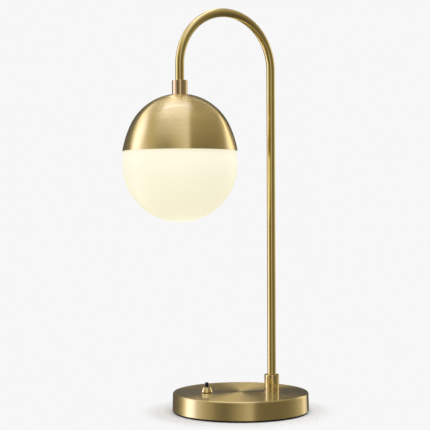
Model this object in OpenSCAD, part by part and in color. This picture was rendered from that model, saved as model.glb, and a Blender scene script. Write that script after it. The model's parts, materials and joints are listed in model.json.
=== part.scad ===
// Desk lamp: a round weighted base, a hooked tube arm and a ball globe hung in a brass dome.
// Millimetres, +Z up. The origin is the centre of the foot pad's underside.
// The arm lies in the XZ plane, with the post at +X and the shade at -X.

/* [Base] */
// Outer diameter of the brass base at its lower edge
base_d = 160; // [140:1:190]
// Height of the base top above the table, pad included
base_h = 23; // [21:0.5:32]
// How much the base's radius narrows from its lower edge to its top edge
base_draft = 0.6; // [0:0.1:1.5]
// Rounding of the base's top edge
base_edge_r = 1.8; // [0.8:0.1:3]
// Thickness of the spun brass shell of the base
shell_t = 1.2; // [0.8:0.1:1.6]
// Thickness of the foot pad
pad_t = 2; // [1:0.5:3]
// How far the foot pad's edge lies inside the base's lower edge
pad_inset = 1.6; // [1:0.1:6]
// Thickness of the steel plate that closes the base
plate_t = 1.5; // [1:0.1:2]
// Depth of the rebate inside the shell's lower edge, which the bottom plate seats in
rebate = 0.4; // [0.3:0.1:0.5]
// Diameter of the pocket in the ballast for the wiring
pocket_d = 116; // [112:1:120]
// Thickness of the ballast over its pocket
web_t = 4; // [3:0.2:5]
// Number of screws that hold the bottom plate
plate_screws_n = 3; // [3:1:6]
// Shank diameter of the plate screws
plate_screw_d = 4; // [3:0.5:5]

/* [Cord inlet] */
// Bore of the rubber grommet that the mains cord passes through
inlet_d = 6.5; // [5:0.1:8]
// Wall of the grommet in its groove
grommet_wall = 2.2; // [1.5:0.1:2.6]
// How far the grommet's flanges stand beyond its groove
grommet_lip = 1.4; // [1:0.1:1.6]
// Thickness of each grommet flange
grommet_flange_t = 1.4; // [1:0.1:2]

/* [Arm] */
// Distance of the post from the centre of the base
post_offset = 45; // [43:0.5:47]
// Overall height of the lamp
lamp_h = 470; // [420:1:560]
// Outer diameter of the arm's tube
arm_d = 10; // [9:0.5:12]
// Wall of the arm's tube
arm_wall = 1; // [0.8:0.1:1.4]
// Radius of the arm's half-circle bend, at the tube's centre
arc_r = 63.5; // [56:0.5:75]
// Straight length of tube below the bend on the shade's side
drop_l = 26.5; // [20:0.5:60]
// Diameter of the collar at the foot of the post
collar_d = 17.4; // [15:0.1:22]
// Height of the collar
collar_h = 16.8; // [10:0.1:30]
// Small chamfer on the turned brass pieces
turned_chamfer = 0.35; // [0.2:0.05:0.6]
// Length of threaded nipple that is fixed inside the foot of the tube
nipple_grip = 18; // [12:1:25]
// Wall of the threaded nipple in the foot of the tube
foot_nipple_wall = 1; // [0.8:0.1:1.2]
// Diameter of the washer under the post
post_washer_d = 18; // [16:0.5:19]
// Thickness of the washer under the post
post_washer_t = 1.2; // [1:0.1:1.6]
// Width across the flats of the nut under the post
post_nut_af = 13; // [12:0.5:14]
// Height of the nut under the post
post_nut_h = 4; // [3:0.5:4.5]

/* [Dome] */
// Height of the dome from its rim to its flat top
dome_h = 63.7; // [58:0.1:70]
// Thickness of the dome's brass
dome_t = 1; // [0.7:0.1:1.4]
// Radius of the flat on top of the dome, which the coupler stands on
seat_r = 13.5; // [12.5:0.1:16]
// How much the radius of the dome's crown is less than the radius of its rim
crown_less = 3.2; // [2.4:0.1:4.5]
// Height angle on the crown where the dome's straighter side begins
side_angle = 25; // [20:1:30]
// Gap between the globe and the dome's rim
shade_gap = 1.3; // [0.8:0.1:3]
// Diameter of the coupler between arm and dome
coupler_d = 17.5; // [15:0.1:22]
// Height of the coupler
coupler_h = 16.6; // [12:0.1:30]
// Length of tube inside the coupler
coupler_grip = 8.3; // [6:0.1:9]
// Outer diameter of the washer inside the dome
dome_washer_d = 24; // [20:0.5:24.5]
// Thickness of the washer inside the dome
dome_washer_t = 1; // [0.8:0.1:1.6]

/* [Globe] */
// Outer diameter of the glass globe
globe_d = 130; // [120:1:136]
// Wall of the glass
glass_t = 3; // [2:0.1:4]
// Outer diameter of the globe's neck
neck_d = 56; // [50:0.5:60]
// How far the neck's end stands above the top that the bare ball would have
neck_rise = 2.7; // [1.5:0.1:4]
// Fillet between the globe's shoulder and its neck
neck_fillet = 2; // [1:0.1:2.4]
// Length of the tube spacer that holds the glass fitter away from the dome
spacer_h = 7; // [6:0.1:9]
// Outer diameter of the tube spacer
spacer_d = 15; // [13:0.5:18]
// Thickness of the glass fitter's sheet
fitter_t = 1.2; // [0.8:0.1:1.5]
// Depth of the glass fitter's wall below its plate
fitter_depth = 7; // [5:0.1:7.5]
// Thickness of the rubber gasket over the globe's neck
gasket_t = 1; // [0.5:0.1:1.5]

/* [Lampholder] */
// Outer diameter of the hollow threaded nipple that carries the shade
nipple_d = 9.9; // [9.5:0.1:10]
// Bore of that nipple
nipple_bore = 7; // [6:0.1:7.4]
// Width across the flats of the nut under the glass fitter
fitter_nut_af = 14; // [13:0.5:17]
// Height of the nut under the glass fitter
fitter_nut_h = 3; // [2:0.5:4]
// Outer diameter of the lampholder's body
holder_d = 26; // [24:0.5:30]
// Wall of the lampholder's body and cap
holder_wall = 2; // [1.5:0.1:2.4]
// Height of the lampholder's cap
holder_cap_h = 16; // [14:0.5:20]
// Length of thread in the lampholder's cap
cap_thread_l = 10; // [8:0.5:11]
// Diameter of the lampholder's cap at its top
cap_top_d = 18; // [16:0.5:20]
// Height of the lampholder's body below its cap
holder_body_h = 32; // [29:0.5:36]
// Thickness of the solid top of the ceramic insert
insert_top_t = 8.5; // [6:0.5:10]
// Height of the ceramic insert's sleeve below its solid top
insert_sleeve_h = 20; // [18:0.5:20.5]
// Thickness of the sheet brass of the lampholder's thread
thread_sheet_t = 0.5; // [0.4:0.1:0.7]
// Height of the lampholder's centre contact
contact_h = 2; // [1.5:0.1:3]
// Diameter of the lampholder's centre contact
contact_d = 5; // [4:0.5:6]
// Diameter of the lampholder's terminal screws
holder_screw_d = 4; // [3:0.5:4.5]
// Height of the heads of the lampholder's terminal screws
holder_screw_h = 2.4; // [2:0.1:3]

/* [Bulb] */
// Diameter of the bulb's ball
bulb_d = 45; // [40:1:46]
// Length of the bulb from its tip contact to the bottom of its ball
bulb_l = 78; // [74:1:80]
// Diameter of the bulb's screw cap
bulb_cap_d = 13.8; // [13.4:0.1:14]
// Length of the bulb's screw cap
bulb_cap_l = 15; // [14:0.5:16]
// Thickness of the sheet of the bulb's cap
bulb_cap_t = 0.4; // [0.3:0.1:0.6]
// Wall of the bulb's envelope
bulb_wall = 1; // [0.6:0.1:1.5]
// Height of the black insulator above the bulb's cap
insulator_h = 3.2; // [2.5:0.1:4]
// Height of the bulb's tip contact
tip_h = 1.5; // [1:0.1:2]
// Diameter of the bulb's tip contact
tip_d = 4.6; // [4:0.1:5.5]

/* [Switch] */
// Place of the switch from the centre of the base, along X
switch_x = -36.5; // [-39:0.5:-30]
// Place of the switch from the centre of the base, along Y
switch_y = 16.5; // [12:0.5:18]
// Diameter of the switch bezel at its foot
bezel_d = 13.5; // [12.5:0.1:18]
// Diameter of the switch bezel at its top
bezel_top_d = 9.5; // [8.5:0.1:11]
// Height of the switch bezel
bezel_h = 6.3; // [5.5:0.1:8]
// Thickness of the bezel's top round the button
bezel_roof = 1.3; // [1:0.1:1.6]
// Diameter of the push button
button_d = 4.2; // [3.5:0.1:4.6]
// Height of the button above the bezel, not pressed
button_up = 5.5; // [4.5:0.1:8]
// Travel of the push button
button_travel = 3; // [2:0.1:3.4]
// Diameter of the switch's threaded neck
switch_neck_d = 9.8; // [9:0.1:10.2]
// Length of the switch body along the line to the post
switch_l = 20; // [17:0.5:21]
// Width of the switch body
switch_w = 16; // [14:0.5:18]
// Height of the switch body below its neck
switch_h = 12.5; // [12:0.1:13]
// Width across the flats of the back nut under the base shell
back_nut_af = 14; // [13:0.5:15]
// Height of the back nut
back_nut_h = 2.8; // [2:0.1:3.2]
// Floor of the switch body under the spring
switch_floor = 1.5; // [1:0.1:2]
// Roof of the switch body over the plunger's flange
switch_roof = 2; // [1.5:0.1:2.4]
// Diameter of the plunger's flange inside the switch
flange_d = 8.4; // [7.4:0.1:9]
// Thickness of the plunger's flange
flange_t = 1.3; // [1:0.1:1.5]
// Diameter of the peg that centres the spring under the flange
peg_d = 3; // [2.4:0.1:3.6]
// Gap that is left under that peg when the button is pressed
peg_gap = 1.9; // [0.6:0.1:2.2]
// Wire diameter of the return spring
spring_wire_d = 0.5; // [0.3:0.05:0.6]
// Diameter of the return spring at the wire's centre
spring_d = 5.2; // [4.6:0.1:6]
// Number of turns of the return spring
spring_turns = 5; // [4:1:6]
// Number of sides of the spring's wire
spring_sides = 8; // [6:1:10]

/* [Wiring] */
// Diameter of the two-core lead inside the arm
lead_d = 4; // [3.8:0.1:4.6]
// Diameter of each of the lead's two cores
core_d = 1.6; // [1.2:0.1:1.7]
// Distance between the lead's two cores
core_pitch = 1.9; // [1.8:0.1:2]
// Height of the wires above the bottom plate
lead_lift = 2.5; // [2.4:0.1:4]
// Distance of the terminal block's centre from the post
block_from_post = 38; // [32:0.5:42]
// Length of the terminal block along the line from post to switch
block_l = 20; // [16:0.5:24]
// Width of the terminal block
block_w = 17; // [14:0.5:22]
// Height of the terminal block
block_h = 10; // [9:0.5:12]
// Diameter of the terminal block's screws
block_screw_d = 3; // [2.4:0.1:3.6]
// Diameter of the two wires to the switch
wire_d = 2.2; // [1.6:0.1:2.6]
// Distance between the two wires
wire_pitch = 8; // [6:0.5:9]
// Length of the switch's terminal tabs
tab_l = 5; // [4:0.5:7]
// Thickness of the terminal tabs
tab_t = 0.8; // [0.6:0.1:1]
// Width of the terminal tabs
tab_w = 4; // [3:0.1:4.6]

/* [Hidden] */
$fn = 96;

// Clearances: slip for pieces pushed together, move for pieces that move past each other
slip = 0.05;
move = 0.3;
eps = 0.01;
// How far a shape that cuts reaches past the face that it cuts
cut = 1;

// Heights in the base
shell_r = base_d / 2;
shell_top_r = shell_r - base_draft;
plate_z = pad_t;
ballast_z = plate_z + plate_t;
shell_under_z = base_h - shell_t;
web_z = shell_under_z - web_t;
edge_in_r = max(base_edge_r - shell_t, 0.2);
rebate_r = shell_r - shell_t + rebate;
plate_r = rebate_r - move;
ballast_gap = 1.5;
ballast_r = shell_top_r - shell_t - ballast_gap;
pad_r = shell_r - pad_inset;

// Screws of the bottom plate, in the ring outside the ballast's pocket
plate_screw_r = (pocket_d / 2 + ballast_r) / 2;
plate_screw_head_d = 1.8 * plate_screw_d;
plate_screw_head_h = 0.75 * pad_t;
plate_screw_l = 0.6 * (shell_under_z - ballast_z);
pad_hole_gap = 1.5;
pad_hole_d = plate_screw_head_d + 2 * pad_hole_gap;
screw_turn = 60;

// Cord inlet, at the back of the post and half way up the pocket
inlet_z = (ballast_z + web_z) / 2;
side_slope = base_draft / (base_h - base_edge_r - plate_z);
inlet_wall_r = shell_r - side_slope * (inlet_z - plate_z);
groove_d = inlet_d + 2 * grommet_wall;
grommet_d = groove_d + 2 * grommet_lip;
inlet_lean = side_slope * grommet_d / 2 + slip;
inlet_face_r = inlet_wall_r + inlet_lean;
inlet_sag = inlet_wall_r - sqrt(pow(inlet_wall_r, 2) - pow(grommet_d / 2, 2));
groove_l = shell_t + inlet_sag + 2 * inlet_lean;
channel_gap = 1;
channel_w = grommet_d + 2 * channel_gap;

// Arm: the post's foot stands on the shell
shade_x = post_offset - 2 * arc_r;
arc_z = lamp_h - arm_d / 2 - arc_r;
tube_end_z = arc_z - drop_l;
head_z = tube_end_z + coupler_grip - coupler_h;
arm_bore = arm_d - 2 * arm_wall;

// Nipple, washer and nut under the post
foot_nipple_d = arm_bore - 2 * slip;
foot_nipple_bore = foot_nipple_d - 2 * foot_nipple_wall;
post_nut_z = web_z - post_washer_t - post_nut_h;
nipple_proud = 0.6;
nipple_hole_gap = 0.5;
foot_nipple_z = post_nut_z - nipple_proud;

// Line from post to switch, for the wiring
switch_dx = switch_x - post_offset;
run_l = sqrt(pow(switch_dx, 2) + pow(switch_y, 2));
run_angle = atan2(switch_y, switch_dx);

// Switch
bezel_top_z = base_h + bezel_h;
neck_top_z = bezel_top_z - bezel_roof - move / 3;
body_top_z = shell_under_z - back_nut_h;
body_z = body_top_z - switch_h;
cavity_z = body_z + switch_floor;
cavity_top_z = body_top_z - switch_roof;
cavity_d = flange_d + 2 * move;
flange_top_z = cavity_top_z - move;
flange_z = flange_top_z - flange_t;
peg_end_z = cavity_z + peg_gap + button_travel;
button_bore = button_d + 2 * move;
switch_hole_gap = 0.7;
switch_hole_r = norm([switch_l, switch_w]) / 2 + switch_hole_gap;
tab_z = ballast_z + lead_lift + lead_d / 2;

// Wiring
lead_z = ballast_z + lead_lift;
bend_r = foot_nipple_z - lead_z;
block_start = block_from_post - block_l / 2;
block_end = block_from_post + block_l / 2;
block_screw_l = 2;
block_screw_sink = 0.5;
block_screw_z = ballast_z + block_h - block_screw_sink - block_screw_l;
tab_start = run_l - switch_l / 2 - tab_l;

// Shade stack, from the dome's flat top down
dome_under_z = head_z - dome_t;
spacer_top_z = dome_under_z - dome_washer_t;
fitter_top_z = spacer_top_z - spacer_h;
fitter_under_z = fitter_top_z - fitter_t;
neck_top = fitter_under_z - gasket_t - move;
globe_r = globe_d / 2;
globe_z = neck_top - neck_rise - globe_r;
neck_r = neck_d / 2;
fitter_in_r = neck_r + move;
fitter_r = fitter_in_r + fitter_t;

// Dome outline: a crown arc centred on the axis, and a side arc that leaves it smoothly and ends at the rim
rim_z = head_z - dome_h;
rim_r = sqrt(pow(globe_r, 2) - pow(rim_z - globe_z, 2)) + shade_gap + dome_t;
crown_r = rim_r - crown_less;
crown_z = head_z - sqrt(pow(crown_r, 2) - pow(seat_r, 2));
side_dir = [cos(side_angle), sin(side_angle)];
side_from = [0, crown_z] + crown_r * side_dir;
side_chord = [rim_r, rim_z] - side_from;
side_r = -(side_chord * side_chord) / (2 * side_chord * side_dir);
side_centre = side_from - side_r * side_dir;

// Lampholder, from the nut down
holder_top_z = fitter_under_z - fitter_nut_h;
nipple_short = 1;
nipple_end_z = holder_top_z - cap_thread_l + nipple_short;
insert_z = holder_top_z - holder_cap_h;
insert_under_z = insert_z - insert_top_t;
holder_end_z = insert_z - holder_body_h;
holder_bore = holder_d - 2 * holder_wall;
insert_d = holder_bore - 2 * slip;
thread_in_d = bulb_cap_d + 2 * move;
thread_out_d = thread_in_d + 2 * thread_sheet_t;
thread_set_back = 2;
thread_l = insert_sleeve_h - thread_set_back;

// Bulb, hung from the centre contact
tip_top_z = insert_under_z - contact_h - move;
insulator_z = tip_top_z - tip_h - insulator_h;
bulb_cap_z = insulator_z - bulb_cap_l;
ball_r = bulb_d / 2;
ball_z = tip_top_z - bulb_l + ball_r;
shoulder_r = bulb_d / 3;
shoulder_z = ball_z + sqrt(pow(ball_r, 2) - pow(shoulder_r, 2));
bulb_neck_step = 0.5;
bulb_neck_r = bulb_cap_d / 2 + bulb_neck_step;

// Colours
satin_brass = [0.74, 0.60, 0.34];
polished_brass = [0.86, 0.72, 0.44];
steel = [0.70, 0.70, 0.72];

// Helpers

// A tube with both ends open
module pipe(outer_d, inner_d, length) {
    difference() {
        cylinder(d = outer_d, h = length);
        translate([0, 0, -cut])
            cylinder(d = inner_d, h = length + 2 * cut);
    }
}

// A turned ring with a small chamfer on its outer edges
module turned_ring(outer_d, inner_d, length) {
    c = turned_chamfer;
    r = outer_d / 2;
    rotate_extrude()
        polygon([
            [inner_d / 2, 0], [r - c, 0], [r, c],
            [r, length - c], [r - c, length], [inner_d / 2, length]
        ]);
}

// A hexagon nut
module hex_nut(across_flats, bore_d, height) {
    difference() {
        cylinder(d = across_flats / cos(30), h = height, $fn = 6);
        translate([0, 0, -cut])
            cylinder(d = bore_d, h = height + 2 * cut);
    }
}

// Puts its children on the axis of the post, of the shade or of the switch
module at_post() {
    translate([post_offset, 0, 0])
        children();
}

module at_shade() {
    translate([shade_x, 0, 0])
        children();
}

module at_switch() {
    translate([switch_x, switch_y, 0])
        rotate([0, 0, run_angle])
            children();
}

// Local X runs from the post to the switch
module along_run() {
    at_post()
        rotate([0, 0, run_angle])
            children();
}

// Repeats its children at the plate screws
module at_plate_screws() {
    for (i = [0 : plate_screws_n - cut])
        rotate([0, 0, screw_turn + i * 360 / plate_screws_n])
            translate([plate_screw_r, 0, 0])
                children();
}

// A hooked rod that follows the arm's centreline
module hooked_rod(d, foot_z, end_z) {
    at_post()
        translate([0, 0, foot_z])
            cylinder(d = d, h = arc_z - foot_z);
    translate([post_offset - arc_r, 0, arc_z])
        rotate([90, 0, 0])
            rotate_extrude(angle = 180)
                translate([arc_r, 0])
                    circle(d = d);
    at_shade()
        translate([0, 0, end_z])
            cylinder(d = d, h = arc_z - end_z);
}

// Base

module foot_pad() color([0.07, 0.07, 0.07]) {
    difference() {
        cylinder(r = pad_r, h = pad_t);
        at_plate_screws()
            translate([0, 0, -cut])
                cylinder(d = pad_hole_d, h = pad_t + 2 * cut);
    }
}

module bottom_plate() color(steel) {
    difference() {
        translate([0, 0, plate_z])
            cylinder(r = plate_r, h = plate_t);
        at_plate_screws()
            translate([0, 0, plate_z - cut])
                cylinder(d = plate_screw_d + 4 * slip, h = plate_t + 2 * cut);
    }
}

module plate_screws() color(steel) {
    slot = plate_screw_d / 4;
    at_plate_screws() {
        difference() {
            translate([0, 0, plate_z - plate_screw_head_h])
                cylinder(d = plate_screw_head_d, h = plate_screw_head_h);
            for (turn = [0, 90])
                translate([0, 0, plate_z - plate_screw_head_h])
                    rotate([0, 0, turn])
                        cube([plate_screw_head_d * 0.7, slot, plate_screw_head_h], center = true);
        }
        translate([0, 0, plate_z])
            cylinder(d = plate_screw_d, h = plate_screw_l);
    }
}

module ballast() color([0.20, 0.20, 0.21]) {
    difference() {
        translate([0, 0, ballast_z])
            cylinder(r = ballast_r, h = shell_under_z - ballast_z);
        translate([0, 0, ballast_z - cut])
            cylinder(d = pocket_d, h = web_z - ballast_z + cut);
        translate([pocket_d / 2 - pad_hole_gap * 2, -channel_w / 2, ballast_z - cut])
            cube([ballast_r, channel_w, web_z - ballast_z + cut]);
        at_post()
            translate([0, 0, web_z - cut])
                cylinder(d = foot_nipple_d + 2 * nipple_hole_gap, h = web_t + 2 * cut);
        at_switch()
            translate([0, 0, web_z - cut])
                cylinder(r = switch_hole_r, h = web_t + 2 * cut);
        at_plate_screws()
            translate([0, 0, ballast_z - cut])
                cylinder(d = plate_screw_d + 2 * slip, h = plate_screw_l + cut);
    }
}

// Outline of the base's shell: a drafted side and a rounded top edge
module base_outline(foot_r, top_r, top_z, foot_z, edge_r) {
    polygon([
        [0, foot_z], [foot_r, foot_z], [top_r, top_z - edge_r],
        [top_r - edge_r, top_z], [0, top_z]
    ]);
    translate([top_r - edge_r, top_z - edge_r])
        circle(r = edge_r);
}

module base_shell() color(satin_brass) {
    lower_edge = 0.3;
    difference() {
        rotate_extrude()
            difference() {
                base_outline(shell_r, shell_top_r, base_h, plate_z, base_edge_r);
                base_outline(
                    shell_r - shell_t, shell_top_r - shell_t, shell_under_z, plate_z - cut, edge_in_r
                );
                translate([0, plate_z - cut])
                    square([rebate_r, plate_t + cut]);
                translate([shell_r, plate_z])
                    rotate([0, 0, 45])
                        square(lower_edge * 2, center = true);
            }
        at_post()
            translate([0, 0, shell_under_z - cut])
                cylinder(d = foot_nipple_d + 4 * slip, h = shell_t + 2 * cut);
        at_switch()
            translate([0, 0, shell_under_z - cut])
                cylinder(d = switch_neck_d + 4 * slip, h = shell_t + 2 * cut);
        translate([inlet_face_r - 2 * groove_l, 0, inlet_z])
            rotate([0, 90, 0])
                cylinder(d = groove_d + 2 * slip, h = 3 * groove_l);
    }
}

module cord_grommet() color([0.09, 0.09, 0.09]) {
    length = 2 * grommet_flange_t + groove_l;
    translate([inlet_face_r + grommet_flange_t - length, 0, inlet_z])
        rotate([0, 90, 0])
            difference() {
                union() {
                    cylinder(d = grommet_d, h = grommet_flange_t);
                    cylinder(d = groove_d, h = length);
                    translate([0, 0, length - grommet_flange_t])
                        cylinder(d = grommet_d, h = grommet_flange_t);
                }
                translate([0, 0, -cut])
                    cylinder(d = inlet_d, h = length + 2 * cut);
            }
}

// Arm

module post_collar() color(polished_brass) {
    at_post()
        translate([0, 0, base_h])
            turned_ring(collar_d, arm_d + 2 * slip, collar_h);
}

module arm_tube() color(satin_brass) {
    difference() {
        hooked_rod(arm_d, base_h, tube_end_z);
        hooked_rod(arm_bore, base_h - cut, tube_end_z - cut);
    }
}

module foot_nipple() color(steel) {
    at_post()
        translate([0, 0, foot_nipple_z])
            pipe(foot_nipple_d, foot_nipple_bore, base_h + nipple_grip - foot_nipple_z);
}

module post_washer() color(steel) {
    at_post()
        translate([0, 0, web_z - post_washer_t])
            pipe(post_washer_d, foot_nipple_d + 4 * slip, post_washer_t);
}

module post_nut() color(steel) {
    at_post()
        translate([0, 0, post_nut_z])
            hex_nut(post_nut_af, foot_nipple_d + 2 * slip, post_nut_h);
}

// Switch

module switch_body() color([0.12, 0.12, 0.12]) {
    corner_r = 2;
    at_switch()
        difference() {
            union() {
                translate([0, 0, body_z])
                    linear_extrude(switch_h)
                        union() {
                            square([switch_l - 2 * corner_r, switch_w], center = true);
                            square([switch_l, switch_w - 2 * corner_r], center = true);
                            for (x = [-1, 1], y = [-1, 1])
                                translate([x * (switch_l / 2 - corner_r), y * (switch_w / 2 - corner_r)])
                                    circle(r = corner_r);
                        }
                translate([0, 0, body_top_z - cut])
                    cylinder(d = switch_neck_d, h = neck_top_z - body_top_z + cut);
            }
            translate([0, 0, cavity_z])
                cylinder(d = cavity_d, h = cavity_top_z - cavity_z);
            translate([0, 0, cavity_top_z - cut])
                cylinder(d = button_bore, h = neck_top_z - cavity_top_z + 2 * cut);
        }
}

module switch_back_nut() color(steel) {
    at_switch()
        translate([0, 0, body_top_z])
            hex_nut(back_nut_af, switch_neck_d + 2 * slip, back_nut_h);
}

// The brass ring nut that shows: a drum on a flared foot, with a roof round the button
module switch_bezel() color(polished_brass) {
    foot_r = bezel_d / 2;
    top_r = bezel_top_d / 2;
    step_z = bezel_h * 0.55;
    step_r = top_r + 0.45;
    foot_edge = 0.5;
    flare = 0.35;
    taper = 0.15;
    top_edge = 0.6;
    bore_r = switch_neck_d / 2 + slip;
    translate([switch_x, switch_y, base_h])
        rotate_extrude()
            polygon([
                [bore_r, 0], [foot_r, 0], [foot_r, foot_edge],
                [step_r + flare, step_z - flare / 2], [step_r, step_z],
                [top_r + taper, bezel_h - top_edge], [top_r - flare, bezel_h], [button_bore / 2, bezel_h],
                [button_bore / 2, bezel_h - bezel_roof], [bore_r, bezel_h - bezel_roof]
            ]);
}

module switch_terminals() color([0.80, 0.66, 0.36]) {
    along_run()
        for (side = [-1, 1])
            translate([tab_start, side * wire_pitch / 2 - tab_w / 2, tab_z - tab_t / 2])
                cube([tab_l, tab_w, tab_t]);
}

module switch_button() color([0.03, 0.03, 0.03]) {
    edge = 0.5;
    r = button_d / 2;
    top = bezel_top_z + button_up;
    at_switch()
        rotate_extrude() {
            polygon([
                [0, peg_end_z], [peg_d / 2, peg_end_z], [peg_d / 2, flange_z], [flange_d / 2, flange_z],
                [flange_d / 2, flange_top_z], [r, flange_top_z], [r, top - edge], [r - edge, top], [0, top]
            ]);
            translate([r - edge, top - edge])
                intersection() {
                    circle(r = edge);
                    square(edge);
                }
        }
}

// Points of one ring of the spring's wire, at a turn angle along its helix
function spring_ring(angle, rise) = [
    for (i = [0 : spring_sides - cut])
        let (a = i * 360 / spring_sides, r = spring_d / 2 + spring_wire_d / 2 * cos(a))
            [r * cos(angle), r * sin(angle), rise + spring_wire_d / 2 * sin(a)]
];

module switch_spring() color(steel) {
    n = spring_sides;
    steps = 16;
    rings = spring_turns * steps;
    low = cavity_z + spring_wire_d / 2 + slip / 5;
    high = flange_z - spring_wire_d / 2 - slip / 5;
    points = [
        for (k = [0 : rings])
            each spring_ring(k * 360 / steps, low + (high - low) * k / rings)
    ];
    sides = [
        for (k = [0 : rings - cut], i = [0 : n - cut])
            let (a = k * n + i, b = k * n + (i + 1) % n)
                each [[a, a + n, b], [b, a + n, b + n]]
    ];
    start_cap = [for (i = [1 : n - 2]) [0, i, i + 1]];
    end_cap = [for (i = [1 : n - 2]) [rings * n, rings * n + i + 1, rings * n + i]];
    at_switch()
        polyhedron(points, concat(sides, start_cap, end_cap));
}

// Wiring

module terminal_block() color([0.90, 0.89, 0.84]) {
    along_run()
        difference() {
            translate([block_start, -block_w / 2, ballast_z])
                cube([block_l, block_w, block_h]);
            for (x = [-1, 1], y = [-1, 1])
                translate([block_from_post + x * block_l / 4, y * wire_pitch / 2, block_screw_z])
                    cylinder(d = block_screw_d + 2 * slip, h = block_screw_l + block_screw_sink + cut);
        }
}

module block_screws() color(steel) {
    along_run()
        for (x = [-1, 1], y = [-1, 1])
            translate([block_from_post + x * block_l / 4, y * wire_pitch / 2, block_screw_z])
                cylinder(d = block_screw_d, h = block_screw_l);
}

// The two-core lead, from the nipple's foot up through the arm to the lampholder
module arm_lead() color([0.93, 0.93, 0.90]) {
    hooked_rod(lead_d, foot_nipple_z, insert_z);
}

// The lead's two cores, bare of their sheath, bent over to the terminal block
module lead_cores() color([0.25, 0.35, 0.62]) {
    along_run()
        for (side = [-1, 1])
            translate([bend_r, side * core_pitch / 2, 0]) {
                translate([0, 0, foot_nipple_z])
                    rotate([90, 180, 0])
                        rotate_extrude(angle = 90)
                            translate([bend_r, 0])
                                circle(d = core_d);
                translate([0, 0, lead_z])
                    rotate([0, 90, 0])
                        cylinder(d = core_d, h = block_start - bend_r);
            }
}

module switch_wires() color([0.55, 0.30, 0.16]) {
    along_run()
        for (side = [-1, 1])
            translate([block_end, side * wire_pitch / 2, tab_z])
                rotate([0, 90, 0])
                    cylinder(d = wire_d, h = tab_start - block_end);
}

// Shade

module shade_coupler() color(polished_brass) {
    at_shade()
        translate([0, 0, head_z])
            turned_ring(coupler_d, arm_d + 2 * slip, coupler_h);
}

module shade_nipple() color(steel) {
    at_shade()
        translate([0, 0, nipple_end_z])
            pipe(nipple_d, nipple_bore, tube_end_z - nipple_end_z);
}

// Half outline of the dome at a distance in from its outer surface
// The crown's disc reaches down past the join, into the side's disc that it touches from within
module dome_outline(inset) {
    span = 3 * crown_r;
    low_z = rim_z - dome_h;
    intersection() {
        union() {
            translate([0, crown_z])
                circle(r = crown_r - inset, $fn = 192);
            intersection() {
                translate(side_centre)
                    circle(r = side_r - inset, $fn = 360);
                polygon([[0, crown_z], [0, crown_z] + span * side_dir, [span, low_z], [0, low_z]]);
            }
        }
        translate([0, rim_z - inset])
            square([span, dome_h]);
    }
}

module shade_dome() color(satin_brass) {
    at_shade()
        difference() {
            rotate_extrude($fn = 192)
                difference() {
                    dome_outline(0);
                    dome_outline(dome_t);
                }
            translate([0, 0, dome_under_z - cut])
                cylinder(d = nipple_d + 6 * slip, h = dome_t + 2 * cut);
        }
}

module dome_washer() color(steel) {
    at_shade()
        translate([0, 0, spacer_top_z])
            pipe(dome_washer_d, nipple_d + 4 * slip, dome_washer_t);
}

module fitter_spacer() color(steel) {
    at_shade()
        translate([0, 0, fitter_top_z])
            pipe(spacer_d, nipple_d + 4 * slip, spacer_h);
}

// Pressed cup that the globe's neck screws into
module glass_fitter() color(satin_brass) {
    at_shade()
        difference() {
            translate([0, 0, fitter_under_z - fitter_depth])
                cylinder(r = fitter_r, h = fitter_depth + fitter_t);
            translate([0, 0, fitter_under_z - fitter_depth - cut])
                cylinder(r = fitter_in_r, h = fitter_depth + cut);
            translate([0, 0, fitter_under_z - cut])
                cylinder(d = nipple_d + 4 * slip, h = fitter_t + 2 * cut);
        }
}

module fitter_gasket() color([0.12, 0.12, 0.12]) {
    lap = 0.5;
    at_shade()
        translate([0, 0, fitter_under_z - gasket_t])
            pipe(neck_d, neck_d - 2 * glass_t - 2 * lap, gasket_t);
}

module fitter_nut() color(steel) {
    at_shade()
        translate([0, 0, holder_top_z])
            hex_nut(fitter_nut_af, nipple_d + 2 * slip, fitter_nut_h);
}

module holder_cap() color([0.10, 0.10, 0.10]) {
    roof_z = holder_top_z - cap_thread_l;
    at_shade()
        difference() {
            union() {
                translate([0, 0, insert_z])
                    cylinder(d = holder_d, h = roof_z - insert_z);
                translate([0, 0, roof_z])
                    cylinder(d1 = holder_d, d2 = cap_top_d, h = cap_thread_l);
            }
            translate([0, 0, insert_z - cut])
                cylinder(d = holder_bore, h = roof_z - insert_z + cut);
            translate([0, 0, roof_z - cut])
                cylinder(d = nipple_d + 2 * slip, h = cap_thread_l + 2 * cut);
        }
}

module holder_body() color([0.10, 0.10, 0.10]) {
    at_shade()
        translate([0, 0, holder_end_z])
            pipe(holder_d, holder_bore, holder_body_h);
}

module holder_insert() color([0.93, 0.92, 0.88]) {
    at_shade()
        difference() {
            translate([0, 0, insert_under_z - insert_sleeve_h])
                cylinder(d = insert_d, h = insert_top_t + insert_sleeve_h);
            translate([0, 0, insert_under_z - insert_sleeve_h - cut])
                cylinder(d = thread_out_d + 2 * slip, h = insert_sleeve_h + cut);
        }
}

module holder_thread() color([0.80, 0.66, 0.36]) {
    at_shade()
        translate([0, 0, insert_under_z - thread_l])
            pipe(thread_out_d, thread_in_d, thread_l);
}

module holder_contact() color([0.80, 0.66, 0.36]) {
    at_shade()
        translate([0, 0, insert_under_z - contact_h])
            cylinder(d = contact_d, h = contact_h);
}

module holder_screws() color(steel) {
    at_shade()
        for (side = [-1, 1])
            translate([side * insert_d / 3, 0, insert_z])
                cylinder(d = holder_screw_d, h = holder_screw_h);
}

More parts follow.
